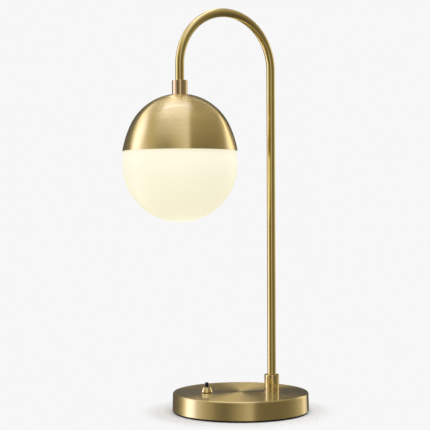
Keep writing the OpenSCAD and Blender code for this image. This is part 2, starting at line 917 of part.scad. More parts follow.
// Half outline of the globe, filled, with its neck and the fillet at the neck's foot
module globe_outline() {
    fillet_x = neck_r + neck_fillet;
    fillet_z = sqrt(pow(globe_r + neck_fillet, 2) - pow(fillet_x, 2));
    touch = [fillet_x, fillet_z] * globe_r / (globe_r + neck_fillet);
    lap = 1;
    intersection() {
        circle(r = globe_r, $fn = 192);
        translate([0, -globe_r])
            square([globe_r, 2 * globe_r]);
    }
    square([neck_r, neck_rise + globe_r]);
    difference() {
        polygon([
            [neck_r - lap, touch[1] - lap], touch, [fillet_x, fillet_z],
            [neck_r, fillet_z], [neck_r - lap, fillet_z]
        ]);
        translate([fillet_x, fillet_z])
            circle(r = neck_fillet);
    }
}

module glass_globe() color([0.97, 0.95, 0.89]) {
    translate([shade_x, 0, globe_z])
        rotate_extrude($fn = 192)
            difference() {
                globe_outline();
                square([neck_r - glass_t, 2 * globe_r]);
                circle(r = globe_r - glass_t, $fn = 192);
            }
}

// Bulb

// Half outline of the bulb's envelope at a distance in from its surface
module bulb_outline(inset) {
    intersection() {
        translate([0, ball_z])
            circle(r = ball_r - inset);
        translate([0, ball_z - ball_r])
            square([ball_r, shoulder_z - ball_z + ball_r]);
    }
    polygon([
        [0, shoulder_z - eps], [shoulder_r - inset, shoulder_z - eps],
        [bulb_neck_r - inset, bulb_cap_z], [0, bulb_cap_z]
    ]);
}

module bulb_envelope() color([0.96, 0.96, 0.93]) {
    at_shade()
        rotate_extrude()
            difference() {
                bulb_outline(0);
                bulb_outline(bulb_wall);
            }
}

module bulb_cap() color([0.78, 0.76, 0.70]) {
    at_shade()
        translate([0, 0, bulb_cap_z])
            pipe(bulb_cap_d, bulb_cap_d - 2 * bulb_cap_t, bulb_cap_l);
}

module bulb_insulator() color([0.08, 0.08, 0.09]) {
    plug_h = 1.5;
    ledge = 1;
    at_shade() {
        translate([0, 0, insulator_z - plug_h])
            cylinder(d = bulb_cap_d - 2 * bulb_cap_t - 2 * slip, h = plug_h);
        translate([0, 0, insulator_z - eps])
            cylinder(d1 = bulb_cap_d - 2 * ledge, d2 = tip_d + ledge, h = insulator_h + eps);
    }
}

module bulb_tip() color([0.78, 0.76, 0.70]) {
    at_shade()
        translate([0, 0, tip_top_z - tip_h])
            cylinder(d = tip_d, h = tip_h);
}

foot_pad();
bottom_plate();
plate_screws();
ballast();
base_shell();
cord_grommet();
post_collar();
arm_tube();
foot_nipple();
post_washer();
post_nut();
switch_body();
switch_back_nut();
switch_bezel();
switch_terminals();
switch_button();
switch_spring();
terminal_block();
block_screws();
arm_lead();
lead_cores();
switch_wires();
shade_coupler();
shade_nipple();
shade_dome();
dome_washer();
fitter_spacer();
glass_fitter();
fitter_gasket();
fitter_nut();
holder_cap();
holder_body();
holder_insert();
holder_thread();
holder_contact();
holder_screws();
glass_globe();
bulb_envelope();
bulb_cap();
bulb_insulator();
bulb_tip();
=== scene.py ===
"""Desk lamp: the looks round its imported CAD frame. Metres, +Z up; the base's centre is over the origin."""

import json
import math

import bmesh
import bpy
from mathutils import Matrix, Vector

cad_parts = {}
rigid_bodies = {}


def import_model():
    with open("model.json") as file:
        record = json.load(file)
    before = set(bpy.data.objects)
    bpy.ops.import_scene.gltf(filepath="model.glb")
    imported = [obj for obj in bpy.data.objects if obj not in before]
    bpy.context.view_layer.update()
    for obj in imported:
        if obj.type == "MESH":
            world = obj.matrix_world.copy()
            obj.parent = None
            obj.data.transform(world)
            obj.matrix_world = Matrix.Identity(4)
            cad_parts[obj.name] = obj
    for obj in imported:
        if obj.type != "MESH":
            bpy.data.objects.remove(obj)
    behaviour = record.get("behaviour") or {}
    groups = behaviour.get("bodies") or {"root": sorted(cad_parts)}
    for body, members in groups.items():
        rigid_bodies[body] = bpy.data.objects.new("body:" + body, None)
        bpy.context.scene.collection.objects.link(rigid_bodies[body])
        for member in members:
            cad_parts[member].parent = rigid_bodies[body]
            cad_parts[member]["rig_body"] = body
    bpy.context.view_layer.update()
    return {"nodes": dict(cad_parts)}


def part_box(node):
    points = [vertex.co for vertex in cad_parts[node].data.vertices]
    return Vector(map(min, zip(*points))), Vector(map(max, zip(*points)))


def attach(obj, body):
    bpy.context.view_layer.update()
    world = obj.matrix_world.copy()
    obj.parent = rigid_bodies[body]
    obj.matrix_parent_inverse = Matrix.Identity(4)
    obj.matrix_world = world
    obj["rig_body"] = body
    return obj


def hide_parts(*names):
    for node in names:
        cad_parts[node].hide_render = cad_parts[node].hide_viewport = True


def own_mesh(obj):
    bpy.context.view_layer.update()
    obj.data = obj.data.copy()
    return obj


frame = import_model()
NODES = frame["nodes"]
MM = 0.001

# Camera: it looks level and a little down past the lamp, from the side of the switch
TO_CAMERA = Vector((-0.5477, -0.8367, 0.0)).normalized()
CAMERA_PLACE = Vector((-0.8125, -1.1879, 0.2399))
CAMERA_PITCH = math.radians(-0.39)
CAMERA_ROLL = math.radians(0.22)
CAMERA_NEAR, CAMERA_FAR = 0.05, 50.0
FOCAL_PIXELS = 1228.2
PHOTO_PIXELS = 430
SENSOR_MM = 36.0

# Light: levels of the world, and lamps with their places and widths in metres
WHITE = (1.0, 1.0, 1.0, 1.0)
BACKDROP_LEVEL = 0.93
FILL_LEVEL = 0.42
OVERHEAD_LAMP = {"place": (-0.1, -0.3, 1.6), "width": 1.3, "watts": 16.0}
SIDE_LAMP = {"place": (-1.5, -0.4, 0.9), "width": 0.9, "watts": 5.5}
LAMP_AIM = Vector((0, 0, 0.2))


# Shader graphs


class Graph:
    """Short ways to add and join the nodes of one material or world."""

    def __init__(self, tree):
        self.tree = tree
        tree.nodes.clear()

    def add(self, kind, **settings):
        node = self.tree.nodes.new(kind)
        for name, value in settings.items():
            setattr(node, name, value)
        return node

    def feed(self, socket, value):
        if isinstance(value, bpy.types.NodeSocket):
            self.tree.links.new(value, socket)
        else:
            socket.default_value = value

    def dress(self, node, **values):
        """Feeds a node's sockets, named with _ for each space."""
        for socket, value in values.items():
            self.feed(node.inputs[socket.replace("_", " ")], value)

    def show(self, output, factor, first, second):
        """Shows a mix of two shaders through an output node."""
        mix = self.add("ShaderNodeMixShader")
        for socket, value in zip(mix.inputs, (factor, first.outputs[0], second.outputs[0])):
            self.feed(socket, value)
        self.feed(self.add(output).inputs["Surface"], mix.outputs[0])

    def math(self, operation, *values):
        node = self.add("ShaderNodeMath", operation=operation)
        for socket, value in zip(node.inputs, values):
            self.feed(socket, value)
        return node.outputs[0]

    def blend(self, first, second, share):
        """A share of the first value, and the rest of the second."""
        part = self.math("MULTIPLY", first, share)
        return self.math("ADD", part, self.math("MULTIPLY", second, 1 - share))

    def apart(self, first, second):
        """How far apart two values are."""
        return self.math("ABSOLUTE", self.math("SUBTRACT", first, second))

    def fade(self, value, start, end, low=0.0, high=1.0):
        """low before start, high after end, with a soft step between."""
        node = self.add("ShaderNodeMapRange", interpolation_type="SMOOTHSTEP")
        for socket, number in zip(node.inputs, (value, start, end, low, high)):
            self.feed(socket, number)
        return node.outputs[0]

    def turn_fade(self, angle, start, end):
        """A fade of an angle in radians, whose start and end are in degrees."""
        return self.fade(angle, math.radians(start), math.radians(end))

    def split(self, vector):
        node = self.add("ShaderNodeSeparateXYZ")
        self.feed(node.inputs[0], vector)
        return node.outputs

    def merge(self, *values):
        node = self.add("ShaderNodeCombineXYZ")
        for socket, value in zip(node.inputs, values):
            self.feed(socket, value)
        return node.outputs[0]

    def noise(self, vector, scale, detail=2.0, roughness=0.5):
        node = self.add("ShaderNodeTexNoise")
        self.dress(node, Vector=vector, Scale=scale, Detail=detail, Roughness=roughness)
        return node.outputs[0]

    def mix_colour(self, factor, first, second):
        """A mix of two colours, through the colour sockets of a Mix node: inputs 6 and 7, output 2."""
        node = self.add("ShaderNodeMix", data_type="RGBA")
        self.feed(node.inputs["Factor"], factor)
        for socket, colour in ((node.inputs[6], first), (node.inputs[7], second)):
            self.feed(socket, colour if isinstance(colour, bpy.types.NodeSocket) else (*colour, 1.0))
        return node.outputs[2]

    def bump(self, height, strength, distance):
        node = self.add("ShaderNodeBump")
        self.dress(node, Strength=strength, Distance=distance, Height=height)
        return node.outputs[0]

    def place(self):
        """A point's place in its object's own axes, in metres."""
        return self.add("ShaderNodeTexCoord").outputs["Object"]


def new_material(name, **values):
    """A material with one Principled shader, whose plain values are set on its own sockets."""
    material = bpy.data.materials.new(name)
    material.use_nodes = True
    graph = Graph(material.node_tree)
    shader = graph.add("ShaderNodeBsdfPrincipled")
    graph.feed(graph.add("ShaderNodeOutputMaterial").inputs["Surface"], shader.outputs[0])
    graph.dress(shader, **values)
    return material, graph, shader


def round_place(graph):
    """Height, distance from the axis, and angle round the axis."""
    x, y, z = graph.split(graph.place())
    squares = graph.math("ADD", graph.math("MULTIPLY", x, x), graph.math("MULTIPLY", y, y))
    return z, graph.math("SQRT", squares), graph.math("ARCTAN2", y, x)


def ring_place(graph, drift):
    """Where a point lies in a pattern of rings, which drifts a little on the way round, and its height."""
    height, radius, angle = round_place(graph)
    return graph.merge(radius, height, graph.math("MULTIPLY", angle, drift)), height


# In these materials clouds, tool_rings and line_scale are noise scales, a grain is in millimetres, and a
# bump's depth and the heights in lit_glass are in metres


def brushed_brass(name, colour, dark, roughness, spread, coat, grain, relief):
    """Brass brushed round its axis: fine rings in colour, roughness and height, under clear lacquer."""
    drift, broad, clouds, stain, depth = 0.0012, 9, 28.0, 0.25, 0.02 * MM
    material, graph, shader = new_material(
        name, Metallic=1.0, Anisotropic=spread, Anisotropic_Rotation=0.25,
        Coat_Weight=coat, Coat_Roughness=0.012, Coat_IOR=1.5,
    )
    rings, _ = ring_place(graph, drift)
    fine = graph.noise(rings, 1 / (grain * MM), detail=3.0, roughness=0.6)
    coarse = graph.noise(rings, 1 / (grain * broad * MM), detail=2.0)
    cloud = graph.noise(graph.place(), clouds, detail=3.0)
    tone = graph.blend(fine, coarse, 0.5)
    ringed = graph.mix_colour(graph.fade(tone, 0.3, 0.7), dark, colour)
    tangent = graph.add("ShaderNodeTangent", direction_type="RADIAL", axis="Z")
    graph.dress(
        shader,
        Base_Color=graph.mix_colour(graph.fade(cloud, 0.62, 0.8, 0.0, stain), ringed, dark),
        Roughness=graph.fade(tone, 0.25, 0.75, roughness * 1.08, roughness * 0.92),
        Tangent=tangent.outputs[0],
        Normal=graph.bump(fine, relief, depth),
    )
    return material


def polished_brass(name, colour, dark, roughness, seam=None):
    """Polished brass with faint tool rings and duller patches, and painted shade up to a seam's height in
    millimetres, for the shadow in an undercut.
    """
    drift, tool_rings, clouds, dullest = 0.001, 2600.0, 90.0, 0.5
    relief, depth, seam_edge = 0.15, 0.01 * MM, 0.05
    material, graph, shader = new_material(name, Metallic=1.0, Coat_Weight=0.3, Coat_Roughness=0.03)
    rings, height = ring_place(graph, drift)
    fine = graph.noise(rings, tool_rings, detail=2.0)
    cloud = graph.noise(graph.place(), clouds, detail=3.0)
    tone = graph.mix_colour(graph.fade(cloud, 0.45, 0.85, 0.0, dullest), colour, dark)
    # Below the seam's height the colour turns to painted shade, standing in for the shadow in the undercut
    if seam:
        under = graph.fade(height, (seam + seam_edge) * MM, seam * MM)
        tone = graph.mix_colour(under, tone, SEAM_PAINTED_SHADE)
    graph.dress(
        shader,
        Base_Color=tone,
        Roughness=graph.fade(cloud, 0.3, 0.75, roughness * 0.85, roughness * 1.25),
        Normal=graph.bump(fine, relief, depth),
    )
    return material


def drawn_brass(name, colour, dark, roughness):
    """Drawn brass tube: faint lines along its length, which its UV map follows."""
    stretch, lines_round, line_scale, clouds = 3.0, 16.0, 3.0, 40.0
    relief, depth = 0.04, 0.01 * MM
    material, graph, shader = new_material(name, Metallic=1.0)
    uv = graph.add("ShaderNodeUVMap", uv_map="along").outputs[0]
    along, around, _ = graph.split(uv)
    along = graph.math("MULTIPLY", along, stretch)
    lines = graph.merge(along, graph.math("MULTIPLY", around, lines_round), 0.0)
    fine = graph.noise(lines, line_scale, detail=3.0)
    cloud = graph.noise(graph.place(), clouds, detail=3.0)
    graph.dress(
        shader,
        Base_Color=graph.mix_colour(graph.fade(cloud, 0.4, 0.8), colour, dark),
        Roughness=graph.fade(fine, 0.3, 0.7, roughness * 0.85, roughness * 1.15),
        Normal=graph.bump(fine, relief, depth),
    )
    return material


def lit_glass(name, glow, glow_low, strength, roughness):
    """White glass lit from inside: a soft glow that is warmer low down, under a smooth gloss."""
    clouds, sway, cool_height, warm_height = 18.0, 0.012, 0.03, -0.062
    relief, depth = 0.03, 0.4 * MM
    material, graph, shader = new_material(
        name, Roughness=roughness, IOR=1.5, Emission_Strength=strength, Specular_IOR_Level=0.3,
    )
    place = graph.place()
    _, _, height = graph.split(place)
    cloud = graph.noise(place, clouds, detail=1.0)
    swing = graph.math("MULTIPLY", graph.math("SUBTRACT", cloud, 0.5), sway)
    warm = graph.fade(graph.math("ADD", height, swing), cool_height, warm_height)
    graph.dress(
        shader,
        Emission_Color=graph.mix_colour(warm, glow, glow_low),
        Base_Color=graph.mix_colour(cloud, GLASS_DARK, GLASS_PALE),
        Normal=graph.bump(cloud, relief, depth),
    )
    return material


def grained(name, colour, dark, roughness, grain, relief, metallic=0.0):
    """A plain material with a fine grain in its colour, roughness and height."""
    broad, fine_share, depth = 14, 0.6, 0.1 * grain * MM
    material, graph, shader = new_material(name, Metallic=metallic)
    place = graph.place()
    fine = graph.noise(place, 1 / (grain * MM), detail=3.0)
    cloud = graph.noise(place, 1 / (grain * broad * MM), detail=2.0)
    tone = graph.blend(fine, cloud, fine_share)
    graph.dress(
        shader,
        Base_Color=graph.mix_colour(graph.fade(tone, 0.35, 0.65), dark, colour),
        Roughness=graph.fade(tone, 0.3, 0.7, roughness * 1.15, roughness * 0.85),
        Normal=graph.bump(fine, relief, depth),
    )
    return material


# Colours: each tone, and the darker one that it varies to
BRASS = (0.75, 0.59, 0.218), (0.71, 0.55, 0.192)
WARM_BRASS = (0.79, 0.58, 0.30), (0.69, 0.48, 0.21)
COLLAR_TONES = (0.79, 0.62, 0.26), (0.71, 0.54, 0.20)
CONTACT_TONES = (0.70, 0.52, 0.22), (0.55, 0.38, 0.15)
# Painted shade for the shadowed undercut at the foot of the switch bezel
SEAM_PAINTED_SHADE = (0.045, 0.025, 0.012)
GLASS_DARK, GLASS_PALE = (0.29, 0.275, 0.235), (0.305, 0.29, 0.25)
# Glow of the lit glass, high up and low down
GLOBE_GLOW = (1.0, 0.955, 0.74), (1.0, 0.94, 0.68)
BULB_GLOW = (1.0, 0.96, 0.80), (1.0, 0.94, 0.74)

# One material for each of the record's slots; some pieces have their own instead, below
SLOT_MATERIALS = {
    "satin_brass": brushed_brass(
        "satin_brass_looks", *BRASS, roughness=0.28, spread=0.94, coat=0.9, grain=0.45, relief=0.08),
    "polished_brass": polished_brass("polished_brass_looks", *WARM_BRASS, roughness=0.07),
    "contact_brass": polished_brass("contact_brass_looks", *CONTACT_TONES, roughness=0.25),
    "opal_glass": lit_glass("opal_glass_looks", *GLOBE_GLOW, strength=0.79, roughness=0.4),
    "bulb_glass": lit_glass("bulb_glass_looks", *BULB_GLOW, strength=0.76, roughness=0.35),
}
# The rest are grained: colour, darker colour, roughness, grain in millimetres, relief, and 1 for a metal
GRAINED = {
    "nickel": ((0.66, 0.63, 0.57), (0.56, 0.53, 0.47), 0.22, 0.4, 0.1, 1.0),
    "zinc_steel": ((0.58, 0.60, 0.62), (0.46, 0.47, 0.49), 0.34, 0.6, 0.2, 1.0),
    "cast_ballast": ((0.07, 0.07, 0.075), (0.04, 0.04, 0.045), 0.7, 1.2, 0.8),
    "black_foam": ((0.012, 0.012, 0.012), (0.005, 0.005, 0.005), 0.9, 0.5, 0.9),
    "black_rubber": ((0.02, 0.02, 0.02), (0.012, 0.012, 0.012), 0.55, 0.4, 0.4),
    "black_button": ((0.010, 0.010, 0.011), (0.007, 0.007, 0.008), 0.14, 0.3, 0.05),
    "black_moulding": ((0.024, 0.024, 0.025), (0.016, 0.016, 0.017), 0.42, 0.4, 0.3),
    "white_moulding": ((0.80, 0.78, 0.72), (0.72, 0.70, 0.63), 0.5, 0.7, 0.3),
    "lead_sheath": ((0.78, 0.78, 0.74), (0.70, 0.70, 0.65), 0.5, 0.5, 0.2),
    "core_blue": ((0.03, 0.08, 0.35), (0.02, 0.05, 0.26), 0.45, 0.4, 0.2),
    "core_brown": ((0.14, 0.05, 0.02), (0.09, 0.03, 0.012), 0.45, 0.4, 0.2),
}
for slot_name, slot_values in GRAINED.items():
    SLOT_MATERIALS[slot_name] = grained(slot_name + "_looks", *slot_values)
BASE_BRASS = brushed_brass(
    "base_brass_looks", *BRASS, roughness=0.36, spread=0.94, coat=1.0, grain=0.5, relief=0.12)
COLLAR_BRASS = polished_brass("collar_brass_looks", *COLLAR_TONES, roughness=0.07)
# The bezel's undercut foot, up to 0.72 mm, gets painted shade
BEZEL_BRASS = polished_brass("bezel_brass_looks", *COLLAR_TONES, roughness=0.07, seam=0.72)
TUBE_BRASS = drawn_brass("tube_brass_looks", *BRASS, roughness=0.17)


# Meshes


def arc(centre, radius, start, end, steps):
    """Points of an arc in an outline, from one angle in degrees to another."""
    angles = [math.radians(start + (end - start) * i / steps) for i in range(steps + 1)]
    return [(centre[0] + radius * math.cos(a), centre[1] + radius * math.sin(a)) for a in angles]


def rounded(corners, steps=4):
    """An outline of (radius, height, rounding) corners, with each rounding as a short curve."""
    points = []
    count = len(corners)
    for i, (x, z, *rounding) in enumerate(corners):
        corner = Vector((x, z))
        if not rounding:
            points.append(corner)
            continue
        before = (Vector(corners[i - 1][:2]) - corner).normalized()
        after = (Vector(corners[(i + 1) % count][:2]) - corner).normalized()
        half = before.angle(after) / 2
        reach = rounding[0] / math.tan(half)
        centre = corner + (before + after).normalized() * rounding[0] / math.sin(half)
        first, last = corner + before * reach - centre, corner + after * reach - centre
        for k in range(steps + 1):
            points.append(centre + first.slerp(last, k / steps) * rounding[0])
    return [tuple(point) for point in points]


def lathe(name, outline, sides, wave=None):
    """A mesh turned from an outline in millimetres; wave(radius, height, angle) may move a point's radius."""
    on_axis = 1e-6
    build = bmesh.new()
    rings = []
    for r, z in outline:
        if r < on_axis:
            rings.append([build.verts.new((0, 0, z * MM))])
            continue
        ring = []
        for i in range(sides):
            a = 2 * math.pi * i / sides
            reach = (wave(r, z, a) if wave else r) * MM
            ring.append(build.verts.new((reach * math.cos(a), reach * math.sin(a), z * MM)))
        rings.append(ring)
    open_ends = len(rings[0]) == 1 and len(rings[-1]) == 1
    following = rings[1:] if open_ends else rings[1:] + rings[:1]
    for low, high in zip(rings, following):
        for i in range(sides):
            j = (i + 1) % sides
            corners = [low[i % len(low)], low[j % len(low)], high[j % len(high)], high[i % len(high)]]
            corners = list(dict.fromkeys(corners))
            if len(corners) > 2:
                build.faces.new(corners)
    return finished_mesh(name, build)


def finished_mesh(name, build, sharp_angle=34.0):
    """The mesh of a bmesh, smooth but for its edges sharper than sharp_angle in degrees."""
    bmesh.ops.recalc_face_normals(build, faces=build.faces[:])
    for face in build.faces:
        face.smooth = True
    for edge in build.edges:
        if len(edge.link_faces) == 2:
            edge.smooth = edge.calc_face_angle() < math.radians(sharp_angle)
    mesh = bpy.data.meshes.new(name)
    build.to_mesh(mesh)
    build.free()
    return mesh


def join_rings(build, first, second):
    """Faces between two rings of the same number of vertices."""
    for i in range(len(first)):
        j = (i + 1) % len(first)
        build.faces.new((first[i], first[j], second[j], second[i]))


def axis_of(node):
    """The foot, at height 0, of the upright axis through the middle of a CAD node."""
    low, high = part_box(node)
    return Vector(((low.x + high.x) / 2, (low.y + high.y) / 2, 0))


def heights(node):
    """A CAD node's lowest and highest height, in millimetres."""
    low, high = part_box(node)
    return low.z / MM, high.z / MM


def outer_radius(node):
    """A turned CAD node's outer radius, in millimetres."""
    low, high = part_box(node)
    return (high.y - low.y) / 2 / MM


def slot_of(node):
    """The record's material slot of a CAD node."""
    return NODES[node].material_slots[0].material.name.split(".")[0]


def raised(height):
    """An upward step of a height in millimetres."""
    return Vector((0, 0, height * MM))


def new_object(name, data, place=(0, 0, 0), turn=(0, 0, 0)):
    """An object in the scene, at a place in metres and with a turn in radians."""
    made = bpy.data.objects.new(name, data)
    bpy.context.scene.collection.objects.link(made)
    made.location = place
    made.rotation_euler = turn
    return made


def add_piece(node, mesh, place=None, turn=(0, 0, 0), material=None):
    """Shows a mesh in place of a CAD node, riding on that node's body."""
    piece = new_object(node + "_looks", mesh, axis_of(node) if place is None else place, turn)
    slot = slot_of(node)
    mesh.materials.append(material or SLOT_MATERIALS[slot])
    normals = piece.modifiers.new("even_normals", "WEIGHTED_NORMAL")
    normals.keep_sharp = True
    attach(piece, NODES[node]["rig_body"])
    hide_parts(node)
    return piece


def turned_piece(node, outline, sides, place=None, turn=(0, 0, 0), material=None, wave=None):
    """Shows a turned outline in place of a CAD node."""
    return add_piece(node, lathe(node + "_looks", outline, sides, wave), place, turn, material)


def cut_away(piece, tools):
    """Takes the cutters' volume out of a piece for good, and deletes them."""
    for tool in tools:
        modifier = piece.modifiers.new("opening", "BOOLEAN")
        modifier.operation = "DIFFERENCE"
        modifier.solver = "EXACT"
        modifier.object = tool
        while piece.modifiers[0] != modifier:
            piece.modifiers.move(piece.modifiers.find(modifier.name), 0)
        bpy.context.view_layer.update()
        with bpy.context.temp_override(object=piece, active_object=piece):
            bpy.ops.object.modifier_apply(modifier=modifier.name)
        bpy.data.objects.remove(tool)


def cutter(radius, start, end, place, turn=(0, 0, 0)):
    """A round cutter along its own Z, from one height to another in millimetres."""
    mesh = lathe("cutter", [(0, start), (radius, start), (radius, end), (0, end)], sides=48)
    return new_object("cutter", mesh, place, turn)


# Pieces: all their sizes are in millimetres, and those that the CAD frame gives are read from it


def base_shell():
    """Spun brass shell: drafted side, rounded top edge, thin wall and a rebate for the bottom plate."""
    foot, top = heights("base_shell")
    radius = outer_radius("base_shell")
    wall, draft, rebate, plate = 1.2, 0.6, 0.4, 1.5
    top_edge, foot_edge, rebate_edge, inner_edge = 1.8, 0.3, 0.1, 0.6
    outline = rounded([
        (0, top), (radius - draft, top, top_edge), (radius, foot, foot_edge),
        (radius - wall + rebate, foot, rebate_edge), (radius - wall + rebate, foot + plate),
        (radius - wall, foot + plate), (radius - draft - wall, top - wall, inner_edge), (0, top - wall),
    ], steps=6)
    piece = turned_piece("base_shell", outline, sides=192, material=BASE_BRASS)
    low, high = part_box("cord_grommet")
    inlet = Vector((0, 0, (low.z + high.z) / 2))
    inlet_r, post_r, switch_r = 5.5, 4.1, 5.0
    inward, outward, below, above = 8, 4, 3, 2
    cut_away(piece, [
        cutter(inlet_r, radius - inward, radius + outward, inlet, (0, math.pi / 2, 0)),
        cutter(post_r, top - below, top + above, axis_of("post_collar")),
        cutter(switch_r, top - below, top + above, axis_of("switch_bezel")),
    ])


def cord_grommet():
    """Rubber ring with soft edges and a groove for the shell's wall."""
    low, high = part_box("cord_grommet")
    length = (high.x - low.x) / MM
    flange, bore, groove = outer_radius("cord_grommet"), 3.25, 5.45
    flange_t, soft = 1.4, 0.5
    outline = rounded([
        (bore, 0, soft), (flange, 0, soft), (flange, flange_t, soft), (groove, flange_t),
        (groove, length - flange_t), (flange, length - flange_t, soft), (flange, length, soft),
        (bore, length, soft),
    ])
    place = Vector((low.x, 0, (low.z + high.z) / 2))
    turned_piece("cord_grommet", outline, sides=64, place=place, turn=(0, math.pi / 2, 0))


def turned_ring(node, material=None):
    """Collar or coupler: a drum with small turned edges and a sunk ring round the tube."""
    foot, top = heights(node)
    radius = outer_radius(node)
    bore, edge, edge_rise, sink, ring, soft = 5.05, 0.3, 0.6, 0.35, 5.55, 0.1
    outline = rounded([
        (bore, foot), (radius - edge, foot), (radius - edge, foot + edge * edge_rise),
        (radius, foot + edge, soft), (radius, top, edge), (ring, top, soft), (ring, top - sink),
        (bore, top - sink),
    ])
    turned_piece(node, outline, sides=96, material=material)


def arm_path(radius):
    """The arm's middle line as ((x, z), lean) points: post, half circle and drop into the coupler."""
    low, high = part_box("arm_tube")
    bend, seat = 63.5, 8.3
    post_steps, bend_steps, drop_steps = 36, 96, 6
    post_x, shade_x = high.x / MM - radius, low.x / MM + radius
    top = high.z / MM - radius - bend
    foot, end = low.z / MM, heights("shade_coupler")[0] + seat
    path = [((post_x, foot + (top - foot) * i / post_steps), 0.0) for i in range(post_steps)]
    for i in range(bend_steps + 1):
        a = math.pi * i / bend_steps
        path.append((((post_x + shade_x) / 2 + bend * math.cos(a), top + bend * math.sin(a)), a))
    path += [((shade_x, top - (top - end) * (i + 1) / drop_steps), math.pi) for i in range(drop_steps)]
    return path


def arm_tube():
    """One bent tube, swept as a hollow ring with its length in a UV map."""
    radius, wall, sides = 5.0, 1.0, 48
    path = arm_path(radius)
    build = bmesh.new()
    uv = build.loops.layers.uv.new("along")
    skins = {}
    for reach in (radius, radius - wall):
        skins[reach] = []
        for (x, z), lean in path:
            ring = []
            for i in range(sides):
                a = 2 * math.pi * i / sides
                out = reach * math.cos(a)
                ring.append(build.verts.new((
                    (x + out * math.cos(lean)) * MM, reach * math.sin(a) * MM, (z + out * math.sin(lean)) * MM
                )))
            skins[reach].append(ring)
    lengths = [0.0]
    for (before, _), (after, _) in zip(path, path[1:]):
        lengths.append(lengths[-1] + math.dist(before, after) * MM)
    for rings in skins.values():
        for k in range(len(path) - 1):
            for i in range(sides):
                j = (i + 1) % sides
                face = build.faces.new((rings[k][i], rings[k][j], rings[k + 1][j], rings[k + 1][i]))
                marks = ((k, i), (k, i + 1), (k + 1, i + 1), (k + 1, i))
                for loop, (step, side) in zip(face.loops, marks):
                    loop[uv].uv = (lengths[step], side / sides)
    for k in (0, -1):
        join_rings(build, skins[radius][k], skins[radius - wall][k])
    mesh = finished_mesh("arm_tube_looks", build)
    add_piece("arm_tube", mesh, Vector((0, 0, 0)), material=TUBE_BRASS)


def shade_dome():
    """Spun dome: a flat seat, a crown arc, and a side arc that leaves it smoothly and ends at the rim."""
    rim, head = heights("shade_dome")
    rim_r = outer_radius("shade_dome")
    wall, seat_r, crown_less, side_angle, hole_r = 1.0, 13.5, 3.2, 25.0, 5.1
    seat_step, crown_steps, side_steps = 0.2, 24, 14
    crown_r = rim_r - crown_less
    crown = (0, head - math.sqrt(crown_r ** 2 - seat_r ** 2))
    lean = Vector((math.cos(math.radians(side_angle)), math.sin(math.radians(side_angle))))
    join = Vector(crown) + crown_r * lean
    chord = Vector((rim_r, rim)) - join
    side_r = -chord.length_squared / (2 * chord.dot(lean))
    side = join - side_r * lean

    def skin(inset):
        """Outline from the seat down to the rim, at a distance in from the outer face."""
        seat_angle = math.degrees(math.acos((seat_r - inset * seat_step) / (crown_r - inset)))
        rim_angle = math.degrees(math.asin((rim - side.y) / (side_r - inset)))
        crown_arc = arc(crown, crown_r - inset, seat_angle, side_angle, crown_steps)
        side_arc = arc(side, side_r - inset, side_angle, rim_angle, side_steps)
        return crown_arc + side_arc[1:]

    outer, inner = skin(0), skin(wall)
    outline = [(hole_r, head)] + outer + inner[::-1] + [(hole_r, head - wall)]
    turned_piece("shade_dome", outline, sides=224)


def glass_globe():
    """Blown ball with a ground neck: outer skin, rounded neck end, and inner skin."""
    low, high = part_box("glass_globe")
    radius = outer_radius("glass_globe")
    centre = low.z / MM + radius
    neck_top = high.z / MM - centre
    neck_r, wall, fillet, lip = 28.0, 3.0, 2.0, 0.8
    outer_steps, inner_steps, small_steps = 72, 64, 4
    fillet_x = neck_r + fillet
    fillet_z = math.sqrt((radius + fillet) ** 2 - fillet_x ** 2)
    touch = math.degrees(math.atan2(fillet_z, fillet_x))
    inner_r = radius - wall
    inner_touch = math.degrees(math.acos((neck_r - wall) / inner_r))
    outline = arc((0, 0), radius, -90, touch, outer_steps)
    outline += arc((fillet_x, fillet_z), fillet, 180 + touch, 180, small_steps)[1:]
    outline += arc((neck_r - lip, neck_top - lip), lip, 0, 90, small_steps)
    outline += arc((neck_r - wall + lip, neck_top - lip), lip, 90, 180, small_steps)
    outline += arc((0, 0), inner_r, inner_touch, -90, inner_steps)
    outline[0], outline[-1] = (0, -radius), (0, -inner_r)
    turned_piece("glass_globe", outline, sides=192, place=axis_of("glass_globe") + raised(centre))


def switch_bezel():
    """Ring nut: a straight cone with an undercut foot, and a rounded roof round the button."""
    foot, top = heights("switch_bezel")
    radius = outer_radius("switch_bezel")
    height = top - foot
    top_r, bore, hole, roof, undercut, lift = 4.75, 4.95, 2.4, 1.3, 1.2, 0.7
    bevel, bevel_rise, soft, top_edge, hole_edge = 0.1, 0.15, 0.05, 0.5, 0.25
    outline = rounded([
        (bore, 0), (radius - undercut, 0), (radius - undercut, lift), (radius - bevel, lift, soft),
        (radius, lift + bevel_rise, soft), (top_r, height, top_edge), (hole, height, hole_edge),
        (hole, height - roof), (bore, height - roof),
    ])
    place = axis_of("switch_bezel") + raised(foot)
    turned_piece("switch_bezel", outline, sides=96, place=place, material=BEZEL_BRASS)


def switch_button():
    """Black plunger with a domed end, and its flange and peg inside the switch."""
    foot, top = heights("switch_button")
    flange_r = outer_radius("switch_button")
    radius, peg_r, flange_low, flange_high = 2.1, 1.5, 15.4, 16.7
    peg_edge, flange_edge, end_edge = 0.3, 0.2, 0.8
    outline = rounded([
        (0, foot), (peg_r, foot, peg_edge), (peg_r, flange_low), (flange_r, flange_low, flange_edge),
        (flange_r, flange_high, flange_edge), (radius, flange_high), (radius, top, end_edge), (0, top),
    ], steps=6)
    turned_piece("switch_button", outline, sides=64)


